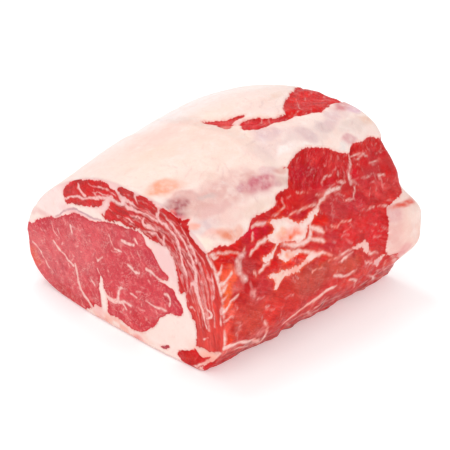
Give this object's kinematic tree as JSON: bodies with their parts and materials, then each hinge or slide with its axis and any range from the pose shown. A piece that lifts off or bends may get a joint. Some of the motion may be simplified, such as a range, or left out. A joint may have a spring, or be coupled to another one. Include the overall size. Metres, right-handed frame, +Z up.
{
  "type": "raw boneless ribeye roast",
  "caption": "Thick block of raw boneless ribeye beef with a flat marbled cut face, a fat sheet over the top and a trimmed red flank, resting flat.",
  "frame": {"origin": "middle of the underside of the bounding box", "axes": "+Z up; the cut face looks along -Y; the trimmed flank looks along +X"},
  "size_m": [0.2132, 0.1952, 0.1313],
  "materials": {
    "raw_beef": "moist raw beef: bright red muscle with white marbling and seams, and a cream-pink fat sheet"
  },
  "bodies": {
    "root": {"ribeye": "raw_beef"}
  },
  "joints": []
}
